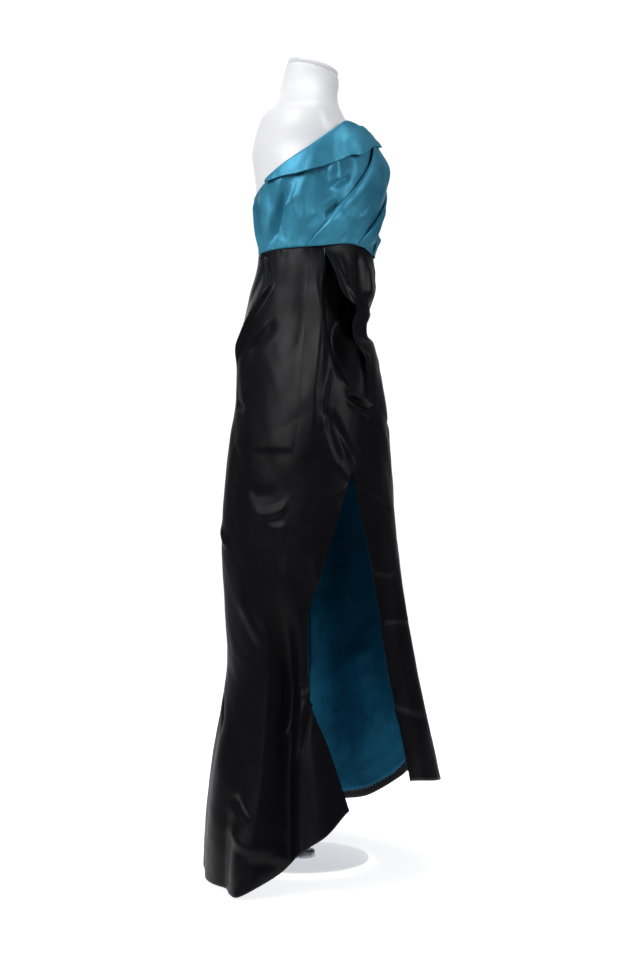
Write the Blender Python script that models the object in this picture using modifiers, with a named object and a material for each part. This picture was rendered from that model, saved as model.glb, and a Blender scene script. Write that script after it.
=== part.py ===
"""Strapless evening gown on a limbless dress form with its stand.

Units are metres, +Z is up and the wearer faces -Y. The origin is the centre of the
stand's foot, on the floor. Round the body, a bearing in degrees runs from the centre
back (0) by the wearer's right side (90) and the centre front (180) to the left (270).
"""

import math
from collections import namedtuple

import bmesh
import bpy
from mathutils import Vector

# ---------------------------------------------------------------- driving sizes
WAIST_Z = 1.135
FORM_FOOT_Z = 0.765
SATIN = 0.0016
DRAPE_SATIN = 0.0013
LINING = 0.0010
SEAM_GAP = 0.0008
LAYER_GAP = 0.0006
LINING_RISE = 0.018
LINING_EDGE = 0.0012
WIDEST_Y = -0.020
PLEAT_SCALE = 0.18
MEAN_RADIUS = 0.13
COLLAR_ROLL = 0.0030
COLLAR_SEAT = 0.0020

LEFT_SIDE = 275.0
ZIP_FOOT_Z = 0.965

BASE_RADIUS = 0.125
BASE_THICK = 0.010
POLE_RADIUS = 0.0125
FLANGE_RADIUS = 0.045
FLANGE_THICK = 0.008
SEAT_GAP = 0.0003

# ---------------------------------------------------------------- short tables
Section = namedtuple("Section", "z half_width back front")
Place = namedtuple("Place", "at value")
Fold = namedtuple("Fold", "start end rise before after fade_in fade_out")

# The outer face of the gown's plain cloth: half its width at the sides, and how far
# it reaches behind (+Y) and in front (-Y).
GOWN_SECTIONS = (
    Section(0.000, 0.300, 0.187, -0.264),
    Section(0.100, 0.286, 0.182, -0.253),
    Section(0.200, 0.263, 0.171, -0.236),
    Section(0.300, 0.238, 0.153, -0.217),
    Section(0.380, 0.222, 0.143, -0.201),
    Section(0.490, 0.215, 0.147, -0.186),
    Section(0.600, 0.216, 0.153, -0.175),
    Section(0.720, 0.214, 0.146, -0.168),
    Section(0.795, 0.209, 0.137, -0.164),
    Section(0.870, 0.202, 0.127, -0.155),
    Section(0.940, 0.191, 0.124, -0.143),
    Section(1.000, 0.176, 0.114, -0.131),
    Section(1.060, 0.155, 0.103, -0.131),
    Section(1.135, 0.129, 0.084, -0.129),
    Section(1.200, 0.140, 0.090, -0.137),
    Section(1.250, 0.147, 0.093, -0.149),
    Section(1.290, 0.150, 0.094, -0.152),
    Section(1.340, 0.151, 0.093, -0.137),
    Section(1.420, 0.146, 0.084, -0.112),
)

# The dress form: hips, waist, bust, upper chest, shoulders and neck.
FORM_SECTIONS = (
    Section(FORM_FOOT_Z, 0.118, 0.080, -0.086),
    Section(0.785, 0.140, 0.094, -0.098),
    Section(0.870, 0.153, 0.101, -0.104),
    Section(0.950, 0.146, 0.093, -0.103),
    Section(1.030, 0.127, 0.077, -0.103),
    Section(1.085, 0.115, 0.070, -0.107),
    Section(1.103, 0.117, 0.072, -0.110),
    Section(1.122, 0.1264, 0.0814, -0.1264),
    Section(1.135, 0.1264, 0.0814, -0.1264),
    Section(1.200, 0.1374, 0.0874, -0.1344),
    Section(1.250, 0.1440, 0.0900, -0.1450),
    Section(1.290, 0.1465, 0.0925, -0.1440),
    Section(1.325, 0.1435, 0.0975, -0.1250),
    Section(1.370, 0.1500, 0.0905, -0.0940),
    Section(1.398, 0.1440, 0.0810, -0.0780),
    Section(1.422, 0.1080, 0.0640, -0.0680),
    Section(1.446, 0.0720, 0.0490, -0.0650),
    Section(1.470, 0.0560, 0.0380, -0.0675),
    Section(1.494, 0.0505, 0.0300, -0.0670),
)
NECK_TILT = 0.28
NECK_CENTRE_Y = -0.018
CAP_RADIUS = 0.049
CAP_THICK = 0.008

# The bodice's top edge, where the collar is folded over it.
TOP_EDGE = (
    Place(0, 1.246), Place(20, 1.250), Place(42, 1.267), Place(58, 1.283),
    Place(84, 1.312), Place(98, 1.332), Place(112, 1.352), Place(124, 1.366),
    Place(150, 1.360), Place(180, 1.362), Place(205, 1.398), Place(226, 1.386),
    Place(248, 1.356), Place(270, 1.322), Place(292, 1.292), Place(318, 1.266),
    Place(340, 1.250), Place(360, 1.246),
)  # fmt: skip

# The hem, from the centre back round both ways. It is cut up steeply on the right,
# towards the slit, and more gently on the left.
HEM_RIGHT = (
    Place(0, 0.006), Place(30, 0.003), Place(56, 0.003), Place(68, 0.028),
    Place(79, 0.061), Place(93, 0.100), Place(106, 0.148), Place(140, 0.190),
)  # fmt: skip
HEM_FRONT = (
    Place(96, 0.190), Place(136, 0.186), Place(160, 0.172), Place(183, 0.166),
    Place(205, 0.186), Place(222, 0.130), Place(240, 0.080), Place(256, 0.062),
    Place(276, 0.048), Place(300, 0.022), Place(330, 0.006), Place(360, 0.006),
)  # fmt: skip

# Edges that run down the skirt: bearing at each height.
SIDE_SEAM = (
    Place(0.0, 66), Place(0.40, 68), Place(0.63, 73), Place(0.84, 80),
    Place(1.05, 85), Place(WAIST_Z, 87),
)  # fmt: skip
WRAP_EDGE = (
    Place(0.140, 106), Place(0.257, 97), Place(0.340, 88.0), Place(0.465, 86.5),
    Place(0.580, 98), Place(0.740, 116), Place(0.800, 126), Place(0.845, 133),
    Place(0.862, 134), Place(0.868, 127), Place(0.876, 119), Place(0.893, 113),
    Place(0.930, 109), Place(0.970, 106), Place(1.030, 102), Place(WAIST_Z, 100),
)  # fmt: skip
WRAP_ROWS = (
    1.1347, 1.100, 1.065, 1.030, 0.995, 0.960, 0.930, 0.905, 0.888, 0.876, 0.868,
    0.858, 0.835, 0.800, 0.755, 0.705, 0.655, 0.600, 0.545, 0.490, 0.435, 0.380,
    0.330, 0.280, 0.230, 0.1847,
)  # fmt: skip
FRONT_EDGE = (
    Place(0.150, 136), Place(0.300, 136), Place(0.450, 134.5), Place(0.600, 129.5),
    Place(0.740, 118), Place(0.800, 112), Place(0.900, 106), Place(0.970, 104),
    Place(1.030, 102.8), Place(WAIST_Z, 100.8),
)  # fmt: skip

# Half the width of the closed zip's lips and of the centre back seam below it.
BACK_LIP = (Place(0.0, 0.6), Place(0.96, 1.3), Place(1.27, 1.6))

# The swag over the front of the hips: its upper right edge and its lower edge.
SWAG_RIM = (
    Place(0.855, 136), Place(0.963, 134), Place(1.030, 129), Place(1.045, 118),
    Place(1.060, 113), Place(1.094, 107), Place(WAIST_Z, 101),
)  # fmt: skip
SWAG_FOOT = (
    Place(134, 0.852), Place(137, 0.862), Place(140, 0.905), Place(144, 0.945),
    Place(150, 0.966), Place(165, 0.984), Place(185, 0.996),
    Place(210, 1.020), Place(240, 1.060), Place(262, 1.098), Place(273, 1.118),
)  # fmt: skip

# The draped bands of the bodice: the bearing of each folded upper edge by height.
BAND_EDGES = (
    (Place(1.135, 80), Place(1.160, 91), Place(1.178, 99), Place(1.202, 107.5),
     Place(1.225, 115), Place(1.245, 122.5), Place(1.267, 130), Place(1.293, 138),
     Place(1.324, 149), Place(1.360, 164), Place(1.400, 182)),
    (Place(1.135, 128), Place(1.184, 150), Place(1.215, 165), Place(1.250, 182),
     Place(1.290, 200), Place(1.330, 216), Place(1.360, 228), Place(1.400, 244)),
    (Place(1.135, 163), Place(1.180, 184), Place(1.220, 202), Place(1.260, 220),
     Place(1.300, 238), Place(1.335, 252), Place(1.400, 270)),
    (Place(1.135, 266), Place(1.400, 272)),
)  # fmt: skip

# The fold-over collar: how wide its flap is and how far it flares from upright.
COLLAR_WIDTH = (
    Place(42, 0.006), Place(60, 0.020), Place(80, 0.038), Place(104, 0.058),
    Place(126, 0.065), Place(140, 0.047), Place(150, 0.033), Place(165, 0.024),
    Place(180, 0.020), Place(205, 0.044),
    Place(230, 0.060), Place(256, 0.055), Place(280, 0.044), Place(300, 0.024),
    Place(318, 0.006),
)  # fmt: skip
COLLAR_FLARE = (
    Place(42, 8), Place(80, 11), Place(104, 14), Place(126, 20), Place(150, 28),
    Place(180, 36), Place(205, 32), Place(230, 28), Place(256, 22), Place(280, 15),
    Place(318, 8),
)  # fmt: skip

# Folds as (bearing, height) lines: rise is outward, before and after are the widths
# on the low and high sides of the line, and the fades are shares of its length.
SKIRT_FOLDS = (
    Fold((54, 1.083), (2, 0.936), 0.011, 0.060, 0.016, 0.3, 0.1),
    Fold((30, 1.150), (50, 1.070), -0.008, 0.013, 0.013, 0.2, 0.3),
    Fold((98, 1.150), (97, 0.960), 0.012, 0.050, 0.030, 0.3, 0.1),
    Fold((97, 0.980), (89, 0.740), 0.010, 0.045, 0.035, 0.2, 0.6),
    Fold((71, 0.520), (75, -0.020), -0.034, 0.040, 0.040, 0.5, 0.0),
    Fold((34, 0.380), (32, -0.020), 0.012, 0.060, 0.050, 0.5, 0.0),
    Fold((90, 0.330), (98, -0.020), 0.016, 0.030, 0.040, 0.6, 0.0),
    Fold((162, 0.700), (161, 0.100), 0.010, 0.045, 0.045, 0.6, 0.0),
    Fold((184, 0.700), (184, 0.100), -0.018, 0.040, 0.040, 0.6, 0.0),
    Fold((206, 0.700), (207, 0.100), 0.014, 0.045, 0.045, 0.6, 0.0),
    Fold((240, 0.800), (238, 0.000), -0.014, 0.055, 0.055, 0.6, 0.0),
    Fold((262, 1.090), (268, 0.000), 0.012, 0.060, 0.060, 0.3, 0.0),
    Fold((292, 0.700), (296, 0.000), -0.022, 0.050, 0.060, 0.6, 0.0),
    Fold((324, 1.100), (322, 0.000), 0.012, 0.060, 0.060, 0.5, 0.0),
    Fold((344, 0.600), (346, 0.000), -0.010, 0.045, 0.045, 0.6, 0.0),
)
WRAP_FOLDS = (
    Fold((101, 1.120), (119, 0.895), -0.027, 0.040, 0.060, 0.30, 0.15),
    Fold((120, 0.886), (140, 0.862), 0.010, 0.016, 0.012, 0.25, 0.0),
)
SWAG_FOLDS = (
    Fold((101, 1.135), (132, 1.010), 0.009, 0.020, 0.020, 0.3, 0.1),
    Fold((131, 0.955), (200, 0.998), -0.010, 0.030, 0.030, 0.05, 0.3),
    Fold((137, 1.150), (140, 1.010), -0.003, 0.022, 0.022, 0.1, 0.4),
)
FRONT_TUCKS = (
    Fold((92, 0.985), (140, 0.955), -0.034, 0.110, 0.145, 0.0, 0.25),
    Fold((132, 1.010), (215, 1.030), -0.012, 0.060, 0.110, 0.1, 0.25),
)


# ---------------------------------------------------------------- shape functions
def smooth(share):
    """0 to 1 with level ends."""
    share = min(max(share, 0.0), 1.0)
    return share * share * (3 - 2 * share)


def along(table, at, column=1):
    """A smooth curve through a table's rows, whose first column rises."""
    rows = sorted(table)
    keys = [row[0] for row in rows]
    values = [row[column] for row in rows]
    if at <= keys[0]:
        return values[0]
    if at >= keys[-1]:
        return values[-1]
    i = max(k for k in range(len(keys) - 1) if keys[k] <= at)

    def slope(k):
        before, after = max(k - 1, 0), min(k + 1, len(keys) - 1)
        left = (values[k] - values[before]) * (values[after] - values[k])
        if before < k < after and left <= 0:
            return 0.0
        return (values[after] - values[before]) / (keys[after] - keys[before])

    span = keys[i + 1] - keys[i]
    t = (at - keys[i]) / span
    return (
        values[i] * (1 + 2 * t) * (1 - t) ** 2
        + values[i + 1] * (3 - 2 * t) * t * t
        + slope(i) * span * t * (1 - t) ** 2
        - slope(i + 1) * span * t * t * (1 - t)
    )


def fold_height(folds, bearing, z):
    """How far the folds push the cloth outwards at a bearing and a height."""
    total = 0.0
    for fold in folds:
        run = math.radians(fold.end[0] - fold.start[0]) * PLEAT_SCALE
        drop = fold.end[1] - fold.start[1]
        length = math.hypot(run, drop)
        side = math.radians(bearing - fold.start[0]) * PLEAT_SCALE
        down = z - fold.start[1]
        t = (side * run + down * drop) / length**2
        off = (down * run - side * drop) / length
        off = -off if drop > 0 else off
        width = fold.before if off < 0 else fold.after
        if not 0 <= t <= 1 or abs(off) >= width:
            continue
        ends = 1.0
        if fold.fade_in:
            ends *= smooth(t / fold.fade_in)
        if fold.fade_out:
            ends *= smooth((1 - t) / fold.fade_out)
        total += fold.rise * ends * (1 - (off / width) ** 2) ** 2
    return total


def ring(sections, bearing, z, outward=0.0):
    """A point on the egg-shaped section at a height, moved outwards level."""
    half_width, back, front = (along(sections, z, column) for column in (1, 2, 3))
    angle = math.radians(bearing)
    depth = back - WIDEST_Y if math.cos(angle) > 0 else WIDEST_Y - front
    normal = Vector((-math.sin(angle) / half_width, math.cos(angle) / depth, 0))
    place = Vector((-half_width * math.sin(angle), WIDEST_Y + depth * math.cos(angle), z))
    return place + normal.normalized() * outward


def skirt_cloth(extra_folds=(), lift=None):
    """The skirt's outer face as a function of bearing and height."""

    def at(bearing, z):
        rise = fold_height(SKIRT_FOLDS, bearing, z)
        rise += fold_height(extra_folds, bearing, z)
        rise *= smooth((WAIST_Z - z) / 0.035)
        rise += lift(bearing, z) if lift else 0.0
        return ring(GOWN_SECTIONS, bearing, z, rise)

    return at


# ---------------------------------------------------------------- Blender helpers
def fresh_scene():
    for stale in list(bpy.data.objects):
        bpy.data.objects.remove(stale)
    made = bpy.data.collections.new("evening gown")
    bpy.context.scene.collection.children.link(made)
    return made


def finish(name, colour, roughness, metallic=0.0):
    material = bpy.data.materials.new(name)
    material.use_nodes = True
    shader = material.node_tree.nodes["Principled BSDF"]
    shader.inputs["Base Color"].default_value = (*colour, 1)
    shader.inputs["Roughness"].default_value = roughness
    shader.inputs["Metallic"].default_value = metallic
    material.diffuse_color = (*colour, 1)
    return material


GOWN = fresh_scene()
BLACK_SATIN = finish("black satin", (0.012, 0.012, 0.014), 0.38)
TEAL_SATIN = finish("teal satin", (0.035, 0.20, 0.32), 0.36)
TEAL_LINING = finish("teal lining", (0.010, 0.105, 0.19), 0.45)
FORM_WHITE = finish("form white", (0.86, 0.86, 0.87), 0.35)
STAND_STEEL = finish("stand steel", (0.78, 0.78, 0.80), 0.30, 0.9)


def add_object(name, mesh, material):
    made = bpy.data.objects.new(name, mesh)
    made.data.materials.append(material)
    GOWN.objects.link(made)
    mesh.shade_smooth()
    mesh.set_sharp_from_angle(angle=math.radians(40))
    return made


def sheet_mesh(name, rows):
    """An open grid from rows of points that run down and round, facing outwards."""
    width = len(rows[0])
    points = [point for row in rows for point in row]
    faces = []
    for i in range(len(rows) - 1):
        for j in range(width - 1):
            a, b = i * width + j, (i + 1) * width + j
            faces += [(a, b, b + 1), (a, b + 1, a + 1)]
    mesh = bpy.data.meshes.new(name)
    mesh.from_pydata(points, [], faces)
    mesh.validate()
    return mesh


def even_rows(count):
    """Shares of a panel's height, a little closer together at the top."""
    return [(j / count) ** 1.15 for j in range(count + 1)]


def cloth_grid(surface, left, right, top, foot, columns, shares, ease=1.0):
    """Points on the surface, row by row, between two edges (bearing by height) and two
    ends (height by bearing)."""
    grid = []
    for share in shares:
        line = []
        for i in range(columns + 1):
            across = (i / columns) ** ease
            bearing = left(WAIST_Z) + (right(WAIST_Z) - left(WAIST_Z)) * across
            for _ in range(12):
                z = top(bearing) + (foot(bearing) - top(bearing)) * share
                aim = left(z) + (right(z) - left(z)) * across
                bearing = (bearing + aim) / 2
            z = top(bearing) + (foot(bearing) - top(bearing)) * share
            line.append(surface(bearing, z))
        grid.append(line)
    return grid


def cloth(name, grid, material, thick=SATIN):
    """A wall of cloth whose outer face is the grid; Solidify thickens it inwards."""
    made = add_object(name, sheet_mesh(name, grid), material)
    wall = made.modifiers.new("cloth", "SOLIDIFY")
    wall.thickness = thick
    wall.offset = -1
    return made


def gap_degrees(share=0.5):
    """A seam's half gap as a bearing on the skirt's mean radius."""
    return math.degrees(SEAM_GAP * share / MEAN_RADIUS)


def level(value):
    return lambda _: value


def read(table, shift=0.0):
    return lambda at: along(table, at) + shift


# ---------------------------------------------------------------- the skirt
def wrap_lift(bearing, z):
    """The wrap's front edge stands off what it laps over."""
    proud = 0.008 * smooth((bearing - 84) / 30) * smooth((z - 0.30) / 0.3)
    return proud * smooth((WAIST_Z + 0.002 - z) / 0.06)


def front_lift(bearing, z):
    """The front panel lies under the wrap and the swag."""
    under_wrap = smooth((150 - bearing) / 24) * smooth((z - 0.45) / 0.2)
    under_swag = smooth((z - 0.96) / 0.03) * smooth((WAIST_Z + 0.002 - z) / 0.06)
    return -0.004 * max(under_wrap * smooth((1.08 - z) / 0.08), 0.5 * under_swag)


def swag_lift(bearing, z):
    """The swag hangs a little clear of the front panel."""
    hang = smooth((WAIST_Z + 0.006 - z) / 0.05)
    return SATIN + 0.0016 + 0.0035 * hang


back_cloth = skirt_cloth()
wrap_cloth = skirt_cloth(WRAP_FOLDS, wrap_lift)
front_cloth = skirt_cloth(FRONT_TUCKS, front_lift)
swag_cloth = skirt_cloth(SWAG_FOLDS, swag_lift)

SkirtPanel = namedtuple("SkirtPanel", "name surface left right hem columns shares")
SKIRT_PANELS = (
    SkirtPanel("skirt_back_right", back_cloth, read(BACK_LIP),
               read(SIDE_SEAM, -gap_degrees()), read(HEM_RIGHT), 10, even_rows(17)),
    SkirtPanel("skirt_wrap_right", wrap_cloth, read(SIDE_SEAM, gap_degrees()),
               read(WRAP_EDGE), read(HEM_RIGHT), 8,
               [(WRAP_ROWS[0] - z) / (WRAP_ROWS[0] - WRAP_ROWS[-1]) for z in WRAP_ROWS]),
    SkirtPanel("skirt_front", front_cloth, read(FRONT_EDGE),
               level(LEFT_SIDE - gap_degrees()), read(HEM_FRONT), 18, even_rows(17)),
    SkirtPanel("skirt_back_left", back_cloth, level(LEFT_SIDE + gap_degrees()),
               lambda z: 360 - along(BACK_LIP, z), read(HEM_FRONT), 10, even_rows(17)),
)  # fmt: skip
SKIRT_TOP = WAIST_Z - SEAM_GAP / 2
LINING_TOP = 0.80


def lining_grid(panel):
    """The panel's own points below the hip, moved in and then trimmed at the edges."""
    rows = panel[next(k for k, line in enumerate(panel) if line[0].z < LINING_TOP) :]
    mesh = sheet_mesh("lining pattern", rows)
    width = len(rows[0])
    depth = SATIN + LAYER_GAP
    moved = [
        [place - mesh.vertices[j * width + i].normal * depth for i, place in enumerate(line)]
        for j, line in enumerate(rows)
    ]
    bpy.data.meshes.remove(mesh)
    for k, (above, below) in enumerate(zip(moved[-2], moved[-1])):
        share = LINING_RISE / max((above - below).length, LINING_RISE)
        moved[-1][k] = below.lerp(above, share)
    for line in moved:
        for edge, inner in ((0, 1), (-1, -2)):
            share = LINING_EDGE / (line[edge] - line[inner]).length
            line[edge] = line[edge].lerp(line[inner], share)
    return moved


def build_skirt():
    for panel in SKIRT_PANELS:
        grid = cloth_grid(panel.surface, panel.left, panel.right, level(SKIRT_TOP),
                          panel.hem, panel.columns, panel.shares)  # fmt: skip
        cloth(panel.name, grid, BLACK_SATIN)
        cloth(panel.name.replace("skirt", "lining"), lining_grid(grid), TEAL_LINING, LINING)
    swag = cloth_grid(swag_cloth, read(SWAG_RIM), level(LEFT_SIDE - 2), level(SKIRT_TOP),
                      read(SWAG_FOOT), 21, even_rows(5), 1.7)  # fmt: skip
    cloth("hip_swag", swag, BLACK_SATIN)


# ---------------------------------------------------------------- the bodice
def bodice_cloth(bearing, z):
    return ring(GOWN_SECTIONS, bearing, z)


def band_cloth(number):
    """A draped band: it lies on the ones before it and is fullest behind its fold."""
    edge = read(BAND_EDGES[number])
    end = read(BAND_EDGES[number + 1])

    def at(bearing, z):
        share = (bearing - edge(z)) / max(end(z) - edge(z), 1)
        fullness = 0.007 * smooth(share / 0.12) * smooth((1.15 - share) / 0.9)
        fullness *= smooth((z - WAIST_Z) / 0.06) * smooth((along(TOP_EDGE, bearing) - z) / 0.06)
        lap = (0.0028 if number else 0.0) * smooth((0.6 - share) / 0.3)
        return ring(GOWN_SECTIONS, bearing, z, DRAPE_SATIN + 0.0030 + lap + fullness)

    return at


def collar_mesh(columns=32, rows=3):
    """The collar lies over the bodice's top edge, folds, and hangs as a flap that
    flares more towards the front."""
    first, last = COLLAR_WIDTH[0].at, COLLAR_WIDTH[-1].at
    grid = []
    for j in range(rows + 2):
        line = []
        for i in range(columns + 1):
            bearing = first + (last - first) * i / columns
            fold_z = along(TOP_EDGE, bearing) + COLLAR_SEAT
            root = ring(GOWN_SECTIONS, bearing, fold_z, COLLAR_ROLL)
            if j == 0:
                line.append(ring(GOWN_SECTIONS, bearing, fold_z, -SATIN))
                continue
            out = (ring(GOWN_SECTIONS, bearing, fold_z, 0.01) - root).normalized()
            flare = math.radians(along(COLLAR_FLARE, bearing))
            drop = along(COLLAR_WIDTH, bearing) * (j - 1) / rows
            down = out * math.sin(flare) - Vector((0, 0, math.cos(flare)))
            line.append(root + drop * down)
        grid.append(line)
    return sheet_mesh("collar", grid)


def build_bodice():
    top = read(TOP_EDGE)
    foot = level(WAIST_Z + SEAM_GAP / 2)
    gap = gap_degrees()
    for name, left, right, columns in (
        ("bodice_back_right", read(BACK_LIP), level(85 - gap), 9),
        ("bodice_front", level(85 + gap), level(LEFT_SIDE - gap), 20),
        ("bodice_back_left", level(LEFT_SIDE + gap), lambda z: 360 - along(BACK_LIP, z), 9),
    ):
        grid = cloth_grid(bodice_cloth, left, right, top, foot, columns, even_rows(7))
        cloth(name, grid, TEAL_SATIN)
    for number in range(len(BAND_EDGES) - 1):
        lap = 7 if number < len(BAND_EDGES) - 2 else 0
        grid = cloth_grid(band_cloth(number), read(BAND_EDGES[number]),
                          read(BAND_EDGES[number + 1], lap), read(TOP_EDGE, -0.015),
                          foot, 9, even_rows(8))  # fmt: skip
        cloth(f"drape_band_{number + 1}", grid, TEAL_SATIN, DRAPE_SATIN)
    collar = add_object("collar", collar_mesh(), TEAL_SATIN)
    wall = collar.modifiers.new("cloth", "SOLIDIFY")
    wall.thickness = SATIN
    wall.offset = 1


def build_back_seam():
    """The closed lips of the concealed zip above, and of the plain seam below it."""
    edge = read(BACK_LIP, -gap_degrees(1.0))
    for name, top, foot, material in (
        ("back_zip", along(TOP_EDGE, 0), ZIP_FOOT_Z, TEAL_SATIN),
        ("back_seam", ZIP_FOOT_Z - SEAM_GAP, along(HEM_RIGHT, 0), BLACK_SATIN),
    ):
        grid = cloth_grid(back_cloth, lambda z: -edge(z), edge, level(top), level(foot),
                          2, even_rows(12))  # fmt: skip
        cloth(name, grid, material)


# ---------------------------------------------------------------- form and stand
def build_form(columns=40):
    """A closed loft of the form's sections; the top rings tilt to carry the cap."""
    mesh = bpy.data.meshes.new("form_torso")
    shell = bmesh.new()
    loops = []
    low, high = FORM_SECTIONS[0].z, FORM_SECTIONS[-1].z
    count = 26
    for j in range(count + 1):
        z = low + (high - low) * j / count
        tilt = NECK_TILT * smooth((z - 1.44) / 0.054)
        loop = []
        for i in range(columns):
            place = ring(FORM_SECTIONS, 360 * i / columns, z)
            place.z += tilt * (place.y - NECK_CENTRE_Y)
            loop.append(shell.verts.new(place))
        loops.append(loop)
    for below, above in zip(loops, loops[1:]):
        for i in range(columns):
            after = (i + 1) % columns
            shell.faces.new((below[i], below[after], above[after], above[i]))
    shell.faces.new(loops[0])
    shell.faces.new(loops[-1])
    bmesh.ops.recalc_face_normals(shell, faces=shell.faces)
    shell.to_mesh(mesh)
    shell.free()
    return add_object("form_torso", mesh, FORM_WHITE)


def disc(name, radius, thick, place, bevel, material, tilt=0.0, segments=40):
    mesh = bpy.data.meshes.new(name)
    shape = bmesh.new()
    bmesh.ops.create_cone(shape, cap_ends=True, segments=segments,
                          radius1=radius, radius2=radius, depth=thick)  # fmt: skip
    shape.to_mesh(mesh)
    shape.free()
    made = add_object(name, mesh, material)
    made.location = place
    made.rotation_euler.x = tilt
    if bevel:
        edge = made.modifiers.new("edge", "BEVEL")
        edge.width = bevel
        edge.segments = 2
        edge.limit_method = "ANGLE"
    return made


def build_stand():
    disc("stand_base", BASE_RADIUS, BASE_THICK, (0, 0, BASE_THICK / 2), 0.003, FORM_WHITE, segments=56)
    flange_z = FORM_FOOT_Z - SEAT_GAP - FLANGE_THICK / 2
    disc("form_flange", FLANGE_RADIUS, FLANGE_THICK, (0, 0, flange_z), 0.0015, STAND_STEEL)
    foot = BASE_THICK + SEAT_GAP
    top = flange_z - FLANGE_THICK / 2 - SEAT_GAP
    disc("stand_pole", POLE_RADIUS, top - foot, (0, 0, (foot + top) / 2), 0, STAND_STEEL, segments=24)
    tilt = math.atan(NECK_TILT)
    neck = Vector((0, NECK_CENTRE_Y, FORM_SECTIONS[-1].z))
    axis = Vector((0, -math.sin(tilt), math.cos(tilt)))
    place = neck + axis * (CAP_THICK / 2 + SEAT_GAP)
    disc("form_neck_cap", CAP_RADIUS, CAP_THICK, place, 0.003, FORM_WHITE, tilt)


build_skirt()
build_bodice()
build_back_seam()
build_form()
build_stand()
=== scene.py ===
"""Looks for the strapless evening gown on its dress form.

Metres, +Z up. The wearer faces -Y and the wearer's right side is towards -X. Round the
body, a bearing in degrees runs from the centre back (0) by the wearer's right side (90)
and the centre front (180) to the left side (270).
"""

import math
from collections import namedtuple

import bpy
import numpy as np
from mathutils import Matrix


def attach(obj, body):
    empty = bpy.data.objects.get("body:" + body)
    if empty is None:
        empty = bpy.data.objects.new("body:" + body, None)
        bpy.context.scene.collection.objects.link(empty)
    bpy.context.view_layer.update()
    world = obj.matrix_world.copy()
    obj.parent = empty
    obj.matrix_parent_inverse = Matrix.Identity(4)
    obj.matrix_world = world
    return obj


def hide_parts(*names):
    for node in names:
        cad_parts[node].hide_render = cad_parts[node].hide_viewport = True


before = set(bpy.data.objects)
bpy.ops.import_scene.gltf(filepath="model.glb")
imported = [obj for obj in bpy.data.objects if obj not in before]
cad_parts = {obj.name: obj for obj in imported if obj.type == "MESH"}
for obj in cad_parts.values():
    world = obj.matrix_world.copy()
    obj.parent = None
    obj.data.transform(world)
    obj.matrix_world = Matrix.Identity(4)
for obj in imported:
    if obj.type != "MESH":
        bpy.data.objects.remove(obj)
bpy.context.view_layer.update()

# ------------------------------------------------------------------ the dress form
# A limbless torso of hips, waist, bust, shoulders and neck. The real one is a white
# fibreglass shell with a satin-gloss coat, and the gown grips it at the waist.
Section = namedtuple("Section", "z half_width back front")
Place = namedtuple("Place", "at value")
WIDEST_Y = -0.020
FORM_FOOT_Z = 0.765
FORM_SECTIONS = (
    Section(FORM_FOOT_Z, 0.118, 0.080, -0.086),
    Section(0.785, 0.140, 0.094, -0.098),
    Section(0.870, 0.153, 0.101, -0.104),
    Section(0.950, 0.146, 0.093, -0.103),
    Section(1.030, 0.127, 0.077, -0.103),
    Section(1.085, 0.115, 0.070, -0.107),
    Section(1.103, 0.117, 0.072, -0.110),
    Section(1.122, 0.1264, 0.0814, -0.1264),
    Section(1.135, 0.1264, 0.0814, -0.1264),
    Section(1.200, 0.1374, 0.0874, -0.1344),
    Section(1.250, 0.1440, 0.0900, -0.1450),
    Section(1.290, 0.1465, 0.0925, -0.1440),
    Section(1.325, 0.1435, 0.0975, -0.1250),
    Section(1.370, 0.1500, 0.0905, -0.0940),
    Section(1.398, 0.1440, 0.0810, -0.0780),
    Section(1.422, 0.1080, 0.0640, -0.0680),
    Section(1.446, 0.0720, 0.0490, -0.0650),
    Section(1.470, 0.0560, 0.0380, -0.0675),
    Section(1.494, 0.0505, 0.0300, -0.0670),
)
NECK_TILT = 0.28
NECK_CENTRE_Y = -0.018
NECK_FOOT_Z = 1.440


def smooth(share):
    """0 to 1 with level ends: three squares less two cubes of the clipped share."""
    share = np.clip(share, 0.0, 1.0)
    return share * share * (3 - 2 * share)


def along(table, at, column=1):
    """A cubic curve through a table's rows, whose slope at a row is that from the row
    before to the row after, and level where the values turn back."""
    rows = np.array(sorted(table), float)
    keys, values = rows[:, 0], rows[:, column]
    at = np.clip(at, keys[0], keys[-1])
    i = np.clip(np.searchsorted(keys, at, side="right") - 1, 0, len(keys) - 2)
    rise, span = np.diff(values), np.diff(keys)
    slope = np.zeros(len(keys))
    slope[0], slope[-1] = rise[0] / span[0], rise[-1] / span[-1]
    inner = (values[2:] - values[:-2]) / (keys[2:] - keys[:-2])
    slope[1:-1] = np.where(rise[1:] * rise[:-1] > 0, inner, 0.0)
    t = (at - keys[i]) / span[i]
    return (
        values[i] * (1 + 2 * t) * (1 - t) ** 2
        + values[i + 1] * (3 - 2 * t) * t * t
        + slope[i] * span[i] * t * (1 - t) ** 2
        - slope[i + 1] * span[i] * t * t * (1 - t)
    )


def ring(sections, bearing, z, outward=0.0):
    """A half ellipse behind and another in front of the widest line, at each height,
    moved outwards level by the last number."""
    half_width, back, front = (along(sections, z, column) for column in (1, 2, 3))
    angle = np.radians(bearing)
    depth = np.where(np.cos(angle) > 0, back - WIDEST_Y, WIDEST_Y - front)
    nx, ny = -np.sin(angle) / half_width, np.cos(angle) / depth
    length = np.hypot(nx, ny)
    x = -half_width * np.sin(angle) + outward * nx / length
    y = WIDEST_Y + depth * np.cos(angle) + outward * ny / length
    return np.stack([x, y, z + 0 * x], axis=-1)


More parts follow.
